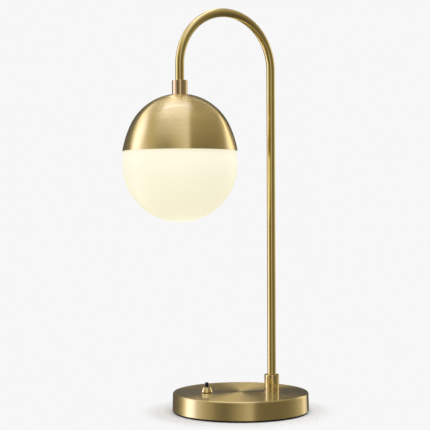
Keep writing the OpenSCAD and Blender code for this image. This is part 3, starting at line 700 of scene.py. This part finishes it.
def switch_spring():
    """Return spring with closed ends, given its own mesh; on the real switch it flattens as the button goes
    down.
    """
    low, high = heights("switch_spring")
    wire, closed, closed_pitch, open_turns = 0.25, 0.8, 2.2, 4.4
    turn_steps, sides, tiny = 32, 12, 1e-9
    coil = outer_radius("switch_spring") - wire
    closed_rise = closed * closed_pitch * wire
    # Turns and height where the closed turns begin and end; wire is a radius, and closed_pitch is in wires
    marks = [(0.0, low + wire), (closed, low + wire + closed_rise),
             (closed + open_turns, high - wire - closed_rise), (2 * closed + open_turns, high - wire)]
    steps = round(marks[-1][0] * turn_steps)
    build = bmesh.new()
    rings = []
    for k in range(steps + 1):
        turns = marks[-1][0] * k / steps
        spans = zip(marks, marks[1:])
        (before, start), (after, end) = next(span for span in spans if turns <= span[1][0] + tiny)
        rise = start + (end - start) * (turns - before) / (after - before)
        a = 2 * math.pi * turns
        ring = []
        for i in range(sides):
            b = 2 * math.pi * i / sides
            reach = (coil + wire * math.cos(b)) * MM
            height = (rise + wire * math.sin(b)) * MM
            ring.append(build.verts.new((reach * math.cos(a), reach * math.sin(a), height)))
        rings.append(ring)
    for first, second in zip(rings, rings[1:]):
        join_rings(build, first, second)
    build.faces.new(rings[0])
    build.faces.new(rings[-1])
    piece = add_piece("switch_spring", finished_mesh("switch_spring_looks", build))
    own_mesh(piece)


def glass_fitter():
    """Pressed cup with soft corners and a rolled lip, which the globe's neck screws into."""
    foot, top = heights("glass_fitter")
    radius = outer_radius("glass_fitter")
    wall, hole, near_wall = 1.2, 5.1, 0.2
    top_edge, lip_edge, inner_edge = 1.4, 0.5, 0.4
    depth, pitch, plain_foot, plain_top = 0.25, 3.2, 0.6, 2.2
    wall_steps, wall_step, split_height = 13, 0.35, 1.0
    outline = rounded([
        (hole, top), (radius, top, top_edge), (radius, foot, lip_edge), (radius - wall, foot, lip_edge),
        (radius - wall, top - wall, inner_edge), (hole, top - wall),
    ], steps=6)

    def thread(r, z, angle):
        """A shallow rolled thread in the cup's wall."""
        if r < radius - wall - near_wall or z > top - plain_top or z < foot + plain_foot:
            return r
        return r - depth + depth * math.cos(2 * math.pi * (z - foot) / pitch - angle)

    wall_points = [(radius, foot + plain_foot + i * wall_step) for i in range(wall_steps)]
    split = next(i for i, point in enumerate(outline) if point[1] < foot + split_height)
    outline = outline[:split] + wall_points[::-1] + outline[split:]
    turned_piece("glass_fitter", outline, sides=128, wave=thread)


def lampholder():
    """Black cap and ribbed body, and the rolled brass thread in the white insert."""
    cap_low, cap_high = heights("holder_cap")
    radius = outer_radius("holder_cap")
    wall, cap_top_r, hole, cap_rise = 2.0, 9.0, 5.0, 10.0
    cap_edge, shoulder_edge, joint_edge, foot_edge, inner_edge = 0.6, 1.2, 0.4, 0.6, 0.3
    roof = cap_high - cap_rise
    outline = rounded([
        (hole, cap_high), (cap_top_r, cap_high, cap_edge), (radius, roof, shoulder_edge),
        (radius, cap_low, joint_edge), (radius - wall, cap_low), (radius - wall, roof), (hole, roof),
    ])
    turned_piece("holder_cap", outline, sides=96)
    low, high = heights("holder_body")
    smooth_end, fade, ribs, sides_a_rib, rib_depth, near_wall = 4.0, 0.6, 36, 6, 0.4, 0.1
    grip_low, grip_high = low + smooth_end, high - smooth_end

    def ribbed(r, z, angle):
        """Grip ribs round the middle of the body."""
        if r < radius - near_wall or not grip_low < z < grip_high:
            return r
        return r - rib_depth * (0.5 + 0.5 * math.cos(ribs * angle))

    outline = rounded([
        (radius, high, joint_edge), (radius, grip_high), (radius, grip_high - fade),
        (radius, grip_low + fade), (radius, grip_low), (radius, low, foot_edge),
        (radius - wall, low, inner_edge), (radius - wall, high),
    ])
    turned_piece("holder_body", outline, sides=ribs * sides_a_rib, wave=ribbed)
    screw_tube("holder_thread", sheet=0.5, depth=0.25)


def screw_tube(node, sheet, depth):
    """A sheet metal tube with a rolled knuckle thread, as on a small lampholder and its bulb."""
    low, high = heights(node)
    radius = outer_radius(node)
    pitch, steps, run_out = 2.82, 84, 1.2
    outer = [(radius, low + (high - low) * i / steps) for i in range(steps + 1)]
    inner = [(radius - sheet, z) for _, z in outer]

    def knuckle(r, z, angle):
        """Rounded thread that fades out at both ends."""
        ends = min(1.0, (z - low) / run_out, (high - z) / run_out)
        return r - depth + depth * math.cos(2 * math.pi * z / pitch - angle) * ends

    turned_piece(node, outer + inner[::-1], sides=72, wave=knuckle)


def bulb():
    """Frosted ball bulb: envelope, threaded cap and tip contact."""
    low, high = heights("bulb_envelope")
    ball_r, wall = outer_radius("bulb_envelope"), 1.0
    ball, neck_r, shoulder_r, neck_flare = low + ball_r, 7.4, 15.0, 1.2
    ball_steps, neck_steps, early, tip_steps, tip_start = 40, 12, 8, 8, 10
    lean = math.degrees(math.acos(shoulder_r / ball_r))
    shoulder = ball + math.sqrt(ball_r ** 2 - shoulder_r ** 2)

    def skin(inset):
        """The ball, and a neck that leaves it in a soft curve a few degrees before the shoulder."""
        points = arc((0, ball), ball_r - inset, -90, lean - early, ball_steps)
        points[0] = (0, low + inset)
        start, end = Vector(points[-1]), Vector((neck_r - inset, high))
        bend = Vector((neck_r - inset + neck_flare, (shoulder + high) / 2))
        for i in range(1, neck_steps + 1):
            t = i / neck_steps
            points.append(tuple(start * (1 - t) ** 2 + bend * 2 * t * (1 - t) + end * t ** 2))
        return points

    outline = skin(0) + skin(wall)[::-1]
    mesh = lathe("bulb_envelope_looks", outline, sides=96)
    mesh.transform(Matrix.Translation(raised(-ball)))
    add_piece("bulb_envelope", mesh, axis_of("bulb_envelope") + raised(ball))
    screw_tube("bulb_cap", sheet=0.4, depth=0.3)
    low, high = heights("bulb_tip")
    radius = outer_radius("bulb_tip")
    outline = [(0, low), (radius, low)] + arc((0, low), radius, tip_start, 90, tip_steps)
    outline = [(r, low + (z - low) * (high - low) / radius) for r, z in outline]
    outline[-1] = (0, high)
    turned_piece("bulb_tip", outline, sides=48)


def finish_cad_nodes():
    """Gives every CAD node that still shows the material of its slot."""
    for node in NODES.values():
        for slot in node.material_slots:
            slot.material = SLOT_MATERIALS[slot.material.name.split(".")[0]]


# Stage


def white_world():
    """Plain light for matt surfaces, and a near white backdrop for the camera, metal and glass."""
    world = bpy.data.worlds.new("studio_world")
    bpy.context.scene.world = world
    world.use_nodes = True
    graph = Graph(world.node_tree)
    rays = graph.add("ShaderNodeLightPath").outputs
    seen = graph.math("MAXIMUM", rays["Is Camera Ray"], rays["Is Glossy Ray"])
    seen = graph.math("MAXIMUM", seen, rays["Is Transmission Ray"])
    light, backdrop = graph.add("ShaderNodeBackground"), graph.add("ShaderNodeBackground")
    graph.dress(light, Strength=FILL_LEVEL, Color=WHITE)
    graph.dress(backdrop, Strength=BACKDROP_LEVEL, Color=WHITE)
    graph.show("ShaderNodeOutputWorld", seen, light, backdrop)


# The studio that metal reflects is a great sphere, in metres. A direction in it has a bearing, in degrees
# from the camera, and parts from -1 to 1 that point up and towards the camera.
STUDIO_RADIUS = 30.0
STUDIO_HEIGHT = 0.25
# Screens round the lamp, low down and high up: (bearing, level)
LOW_SCREENS = [
    (-180, 0.12), (-150, 0.15), (-128, 0.20), (-110, 0.34), (-85, 1.12), (-73, 0.92), (-61, 0.64),
    (-50, 0.46), (-40, 0.21), (-24, 0.10), (-17, 0.20), (-8, 0.36), (5, 0.60), (13, 0.80), (18, 0.72),
    (20, 0.50), (23, 0.21), (60, 0.21), (80, 0.25), (95, 0.38), (112, 0.58), (138, 0.34), (150, 0.09),
    (180, 0.09),
]
HIGH_SCREENS = [
    (-180, 0.2), (-130, 0.2), (-108, 0.25), (-95, 0.5), (-70, 0.67), (-54, 0.70), (-41, 1.06), (-28, 1.17),
    (-10, 1.12), (18, 1.06), (20, 0.82), (23, 0.54), (50, 0.54), (77, 0.57), (95, 0.62), (110, 0.56),
    (130, 0.38), (150, 0.2), (180, 0.2),
]
# The low screens turn into the high ones between these up parts
LOW_UP, HIGH_UP = 0.22, 0.96
# Below the horizon the screens fade to a share of their level
BELOW = {"deep": -0.35, "start": -0.02, "share": 0.6}
# Bearings turn into plain ones between these towards parts, which lie behind the lamp
BEHIND = (-0.55, -0.85)
# Upright bright strips: half width and softness in degrees, and how their bearing shifts from low to high.
# top is the share of their level high up; under and under_turn are their share and turn below the horizon.
LEFT_STRIP = {
    "bearing": -99, "half": 4, "soft": 12, "level": 1.18, "low": 0.22, "high": 0.58, "shift": 20,
    "top": 0.45, "under": 1.36, "under_turn": 7.5,
}
RIGHT_STRIP = {
    "bearing": 134, "half": 4, "soft": 14, "level": 1.45, "low": 0.08, "high": 0.30, "shift": -20,
    "top": 0.5, "under": 0.45, "under_turn": 0,
}
# The up part at which a strip has its top share, and those between which it comes up from its under share
STRIP_TOP, HORIZON = 0.9, (-0.2, 0.1)
# A soft box overhead, a little behind the lamp, that ends at the sharp edge right of the middle. Its level
# comes in between wide and full, which are cosines of the angle from its middle.
OVERHEAD_BOX = {
    "lean": 0.17, "wide": 0.88, "full": 0.985, "level": 0.28, "left": -42, "left_full": -18,
    "right": 20, "right_soft": 3,
}
# A bright screen high up, its bearing counted from straight behind the lamp: the base mirrors it in wedges
BACK_BOX = {
    "bearing": -3.5, "half": 2, "soft": 7, "low": 0.46, "high": 0.62, "end": 0.66, "top": 0.82,
    "level": 3.3, "towards": (-0.3, -0.6),
}
# Thin lamps overhead, across the view: how far back, half width, left and right ends, and level at each end
CROWN_LINES = (
    {"back": 0.155, "half": 0.02, "left": -0.45, "right": 0.36, "levels": (4.2, 0.8)},
    {"back": 0.75, "half": 0.02, "left": -0.1, "right": 0.7, "levels": (0.4, 0.7)},
)
# Their soft edge in half widths, the length of their soft ends, and the up parts between which they appear
CROWN_SOFT, CROWN_END, CROWN_UP = 2.2, 0.05, (0.2, 0.3)
# A low gap behind the lamp through which the backdrop shows
GAP = {"bearing": 174, "soft": 2, "top": 0.075, "top_soft": 0.03}
# Bright screens are cooler than dark ones, except behind the lamp
DARK_TINT, LIGHT_TINT = (1.0, 0.915, 0.78), (0.97, 0.995, 1.5)
COOL_LEVELS, COOL_TOWARDS = (0.42, 1.35), (-0.6, -0.25)


def screen_ramp(graph, bearing, screens):
    """The level of a list of screens at a bearing in radians."""
    turn = graph.math("MULTIPLY_ADD", bearing, 0.5 / math.pi, 0.5)
    ramp = graph.add("ShaderNodeValToRGB")
    graph.feed(ramp.inputs[0], turn)
    stops = ramp.color_ramp.elements
    while len(stops) < len(screens):
        stops.new(1.0)
    for stop, (angle, level) in zip(stops, screens):
        stop.position = (angle + 180) / 360
        stop.color = (level, level, level, 1.0)
    return graph.split(ramp.outputs[0])[0]


def bright_strip(graph, bearing, up, strip):
    """The level that one upright bright strip adds."""
    shift = graph.fade(up, strip["low"], strip["high"], 0.0, math.radians(strip["shift"]))
    centre = graph.math("ADD", shift, math.radians(strip["bearing"]))
    centre = graph.math("ADD", centre, graph.fade(up, *HORIZON, math.radians(strip["under_turn"]), 0.0))
    band = graph.turn_fade(graph.apart(bearing, centre), strip["half"] + strip["soft"], strip["half"])
    level = graph.fade(up, strip["low"], STRIP_TOP, strip["level"], strip["level"] * strip["top"])
    level = graph.math("MULTIPLY", level, graph.fade(up, *HORIZON, strip["under"], 1.0))
    return graph.math("MULTIPLY", band, level)


def crown_line(graph, right, towards, up, line):
    """The level that a thin lamp overhead adds, which the lacquer on the dome's crown mirrors as an arc."""
    back = graph.math("DIVIDE", towards, graph.math("MULTIPLY", up, -1.0))
    across = graph.math("DIVIDE", right, up)
    thin = graph.fade(graph.apart(back, line["back"]), line["half"] * CROWN_SOFT, line["half"])
    level = graph.fade(across, line["left"], line["right"], *line["levels"])
    start = graph.fade(across, line["left"], line["left"] + CROWN_END)
    stop = graph.fade(across, line["right"], line["right"] - CROWN_END)
    ends = graph.math("MULTIPLY", start, stop)
    above = graph.math("MULTIPLY", graph.fade(up, *CROWN_UP), ends)
    return graph.math("MULTIPLY", graph.math("MULTIPLY", thin, level), above)


def overhead_box(graph, bearing, towards, up):
    """The level that the soft box overhead adds."""
    box = OVERHEAD_BOX
    tilt = graph.math("MULTIPLY", towards, -box["lean"])
    near = graph.math("MULTIPLY_ADD", up, math.sqrt(1 - box["lean"] ** 2), tilt)
    near = graph.fade(near, box["wide"], box["full"], 0.0, box["level"])
    left = graph.turn_fade(bearing, box["left"], box["left_full"])
    right = graph.turn_fade(bearing, box["right"] + box["right_soft"], box["right"])
    return graph.math("MULTIPLY", near, graph.math("MULTIPLY", left, right))


def back_box(graph, right, towards, up):
    """The level that the bright screen behind the lamp adds."""
    box = BACK_BOX
    bearing = graph.math("ARCTAN2", right, graph.math("MULTIPLY", towards, -1.0))
    off = graph.apart(bearing, math.radians(box["bearing"]))
    band = graph.turn_fade(off, box["half"] + box["soft"], box["half"])
    back = graph.math("MULTIPLY", band, graph.fade(towards, *box["towards"]))
    back = graph.math("MULTIPLY", back, graph.fade(up, box["low"], box["high"], 0.0, box["level"]))
    return graph.math("MULTIPLY", back, graph.fade(up, box["top"], box["end"]))


def studio_level(graph, right, towards, up):
    """The studio's level in a direction given by its parts to the camera's right, towards it, and up."""
    # On a ball seen from the camera each screen shows as an upright band, because a bearing is taken from the
    # normal that the ball would have there. The sum under the root is kept just above 0.
    above_zero = 0.0004
    half = graph.math("SQRT", graph.math("MULTIPLY_ADD", towards, 2.0, 2.0 + above_zero))
    ball_bearing = graph.math("MULTIPLY", graph.math("ARCSINE", graph.math("DIVIDE", right, half)), 2.0)
    plain_bearing = graph.math("ARCTAN2", right, towards)
    turn = graph.math("SUBTRACT", plain_bearing, ball_bearing)
    turn = graph.math("MULTIPLY", turn, graph.fade(towards, *BEHIND))
    bearing = graph.math("ADD", ball_bearing, turn)
    low = screen_ramp(graph, bearing, LOW_SCREENS)
    high = screen_ramp(graph, bearing, HIGH_SCREENS)
    rise = graph.fade(up, LOW_UP, HIGH_UP)
    level = graph.math("MULTIPLY_ADD", graph.math("SUBTRACT", high, low), rise, low)
    level = graph.math("MULTIPLY", level, graph.fade(up, BELOW["deep"], BELOW["start"], BELOW["share"], 1.0))
    for strip in (LEFT_STRIP, RIGHT_STRIP):
        level = graph.math("ADD", level, bright_strip(graph, bearing, up, strip))
    for line in CROWN_LINES:
        level = graph.math("ADD", level, crown_line(graph, right, towards, up, line))
    level = graph.math("ADD", level, overhead_box(graph, bearing, towards, up))
    return graph.math("ADD", level, back_box(graph, right, towards, up)), plain_bearing


def studio_screens():
    """Light and dark screens that only reflections see, with a gap behind the lamp to the backdrop."""
    steps, radius = 48, STUDIO_RADIUS / MM
    outline = arc((0, 0), radius, -90, 90, steps)
    outline[0], outline[-1] = (0, -radius), (0, radius)
    mesh = lathe("studio_screens", outline, sides=96)
    facing = math.atan2(TO_CAMERA.y, TO_CAMERA.x) + math.pi / 2
    screens = new_object("studio_screens", mesh, (0, 0, STUDIO_HEIGHT), (0, 0, facing))
    material = bpy.data.materials.new("studio_screens")
    material.use_nodes = True
    material.cycles.emission_sampling = "NONE"
    graph = Graph(material.node_tree)
    direction = graph.add("ShaderNodeVectorMath", operation="NORMALIZE")
    graph.feed(direction.inputs[0], graph.place())
    right, away, up = graph.split(direction.outputs[0])
    towards = graph.math("MULTIPLY", away, -1.0)
    level, bearing = studio_level(graph, right, towards, up)
    cool = graph.math("MULTIPLY", graph.fade(level, *COOL_LEVELS), graph.fade(towards, *COOL_TOWARDS))
    glow = graph.add("ShaderNodeEmission")
    graph.dress(glow, Strength=level, Color=graph.mix_colour(cool, DARK_TINT, LIGHT_TINT))
    aside = graph.math("ABSOLUTE", bearing)
    behind = graph.turn_fade(aside, GAP["bearing"] - GAP["soft"], GAP["bearing"])
    gap = graph.math("MULTIPLY", behind, graph.fade(up, GAP["top"], GAP["top"] - GAP["top_soft"]))
    clear = graph.add("ShaderNodeBsdfTransparent")
    graph.show("ShaderNodeOutputMaterial", gap, glow, clear)
    mesh.materials.append(material)
    screens.visible_camera = False
    screens.visible_diffuse = False
    screens.visible_transmission = False
    screens.visible_shadow = False


def pale_floor():
    """A pale disc that keeps the lamp's soft shadow and fades out into the backdrop."""
    reach, rings, thick, sink = 420.0, 12, 0.5, -0.2
    pale, whole_radius, gone_radius, near_clear = (0.93, 0.93, 0.93, 1.0), 83, 125, 0.35
    outline = [(0, 0)] + [(reach * (i + 1) / rings, 0) for i in range(rings)] + [(0, -thick)]
    mesh = lathe("floor", outline, sides=96)
    floor = new_object("floor", mesh, raised(sink))
    material = bpy.data.materials.new("pale_floor")
    material.use_nodes = True
    graph = Graph(material.node_tree)
    _, radius, _ = round_place(graph)
    paint = graph.add("ShaderNodeBsdfDiffuse")
    graph.dress(paint, Color=pale)
    clear = graph.add("ShaderNodeBsdfTransparent")
    away = graph.fade(radius, whole_radius * MM, gone_radius * MM, near_clear, 1.0)
    graph.show("ShaderNodeOutputMaterial", away, paint, clear)
    mesh.materials.append(material)
    floor.visible_glossy = False


def soft_lamp(name, place, width, watts):
    """A large soft lamp aimed at the lamp's middle, which metal sees only as the studio's screens."""
    light = bpy.data.lights.new(name, "AREA")
    light.shape = "DISK"
    light.size = width
    light.energy = watts
    aim = (LAMP_AIM - Vector(place)).to_track_quat("-Z", "Y").to_euler()
    lamp = new_object(name, light, place, aim)
    lamp.visible_glossy = False
    lamp.visible_camera = False


def camera():
    """The photograph's viewpoint."""
    data = bpy.data.cameras.new("camera")
    data.sensor_width = SENSOR_MM
    data.lens = SENSOR_MM * FOCAL_PIXELS / PHOTO_PIXELS
    data.clip_start, data.clip_end = CAMERA_NEAR, CAMERA_FAR
    shot = new_object("camera", data)
    side = Vector((0, 0, 1)).cross(TO_CAMERA).normalized()
    forward = -TO_CAMERA * math.cos(CAMERA_PITCH) + Vector((0, 0, math.sin(CAMERA_PITCH)))
    upright = side.cross(forward)
    right = side * math.cos(CAMERA_ROLL) - upright * math.sin(CAMERA_ROLL)
    up = upright * math.cos(CAMERA_ROLL) + side * math.sin(CAMERA_ROLL)
    turn = Matrix((right, up, -forward)).transposed()
    shot.matrix_world = Matrix.Translation(CAMERA_PLACE) @ turn.to_4x4()
    bpy.context.scene.camera = shot


camera()
base_shell()
cord_grommet()
turned_ring("post_collar", COLLAR_BRASS)
turned_ring("shade_coupler")
arm_tube()
shade_dome()
glass_globe()
switch_bezel()
switch_button()
switch_spring()
glass_fitter()
lampholder()
bulb()
finish_cad_nodes()
white_world()
studio_screens()
pale_floor()
soft_lamp("overhead_lamp", **OVERHEAD_LAMP)
soft_lamp("side_lamp", **SIDE_LAMP)
bpy.context.scene.view_settings.view_transform = "Standard"
